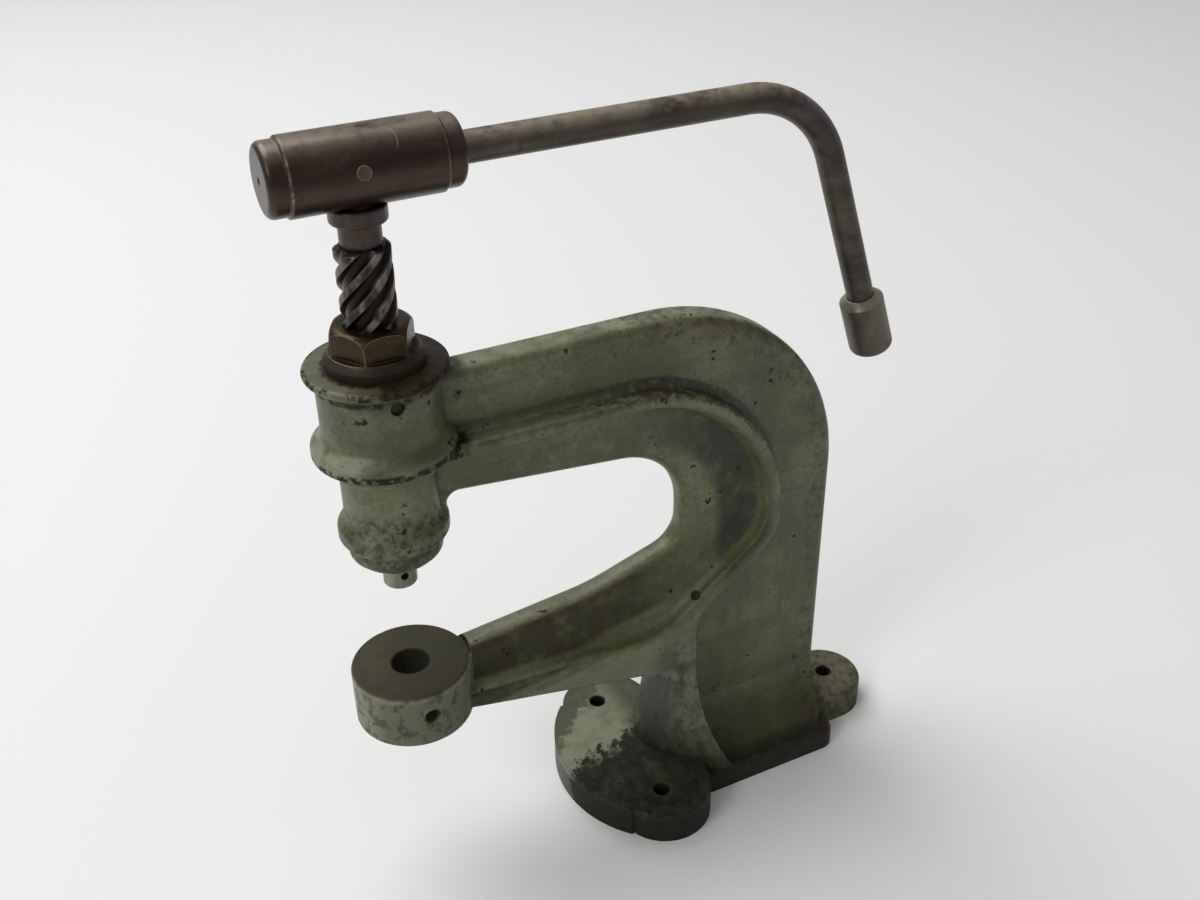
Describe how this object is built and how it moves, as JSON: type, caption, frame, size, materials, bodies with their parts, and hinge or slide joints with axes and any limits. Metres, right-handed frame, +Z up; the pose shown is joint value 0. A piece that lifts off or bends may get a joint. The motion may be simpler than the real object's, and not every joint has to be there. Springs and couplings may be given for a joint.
{
  "type": "hand screw press",
  "caption": "Small bench screw press: C-shaped cast frame with round anvil, bored head, bronze nut, steep screw, keyed ram and bent crank handle.",
  "frame": {"origin": "midway between the two front bolt holes, on the base underside", "axes": "+Z up, +X from the ram towards the column and the rear lug, Y across the casting"},
  "size_m": [0.2001, 0.078, 0.253],
  "materials": {
    "casting_paint": "worn sage green paint on cast iron, bare on the machined anvil",
    "nut_bronze": "dark aged bronze",
    "grub_steel": "dark oiled steel",
    "ram_steel": "dull ground steel",
    "spindle_steel": "dark oiled steel with bright worn crests",
    "hub_steel": "dark brown oxidised steel",
    "pin_steel": "dull steel",
    "rod_steel": "brown-grey oxidised steel"
  },
  "bodies": {
    "frame": {"frame_casting": "casting_paint", "screw_nut": "nut_bronze", "nut_lock_screw": "grub_steel", "ram_guide_screw": "grub_steel"},
    "ram": {"ram": "ram_steel", "retaining_pin_front": "grub_steel", "retaining_pin_back": "grub_steel"},
    "spindle": {"screw_spindle": "spindle_steel", "handle_hub": "hub_steel", "hub_pin": "pin_steel", "handle_rod": "rod_steel", "handle_knob": "rod_steel"}
  },
  "joints": [
    {"name": "ram_slide", "type": "slide", "parent": "frame", "child": "ram", "axis": [0, 0, -1], "range_m": [0, 0.024]},
    {"name": "spindle_turn", "type": "hinge", "parent": "ram", "child": "spindle", "pos_m": [-0.077, 0, 0.2], "axis": [0, 0, -1], "range_deg": [0, 187.8]}
  ],
  "couplings": [
    {"joint": "ram_slide", "follows": "spindle_turn", "m_per_rad": 0.0073211}
  ]
}
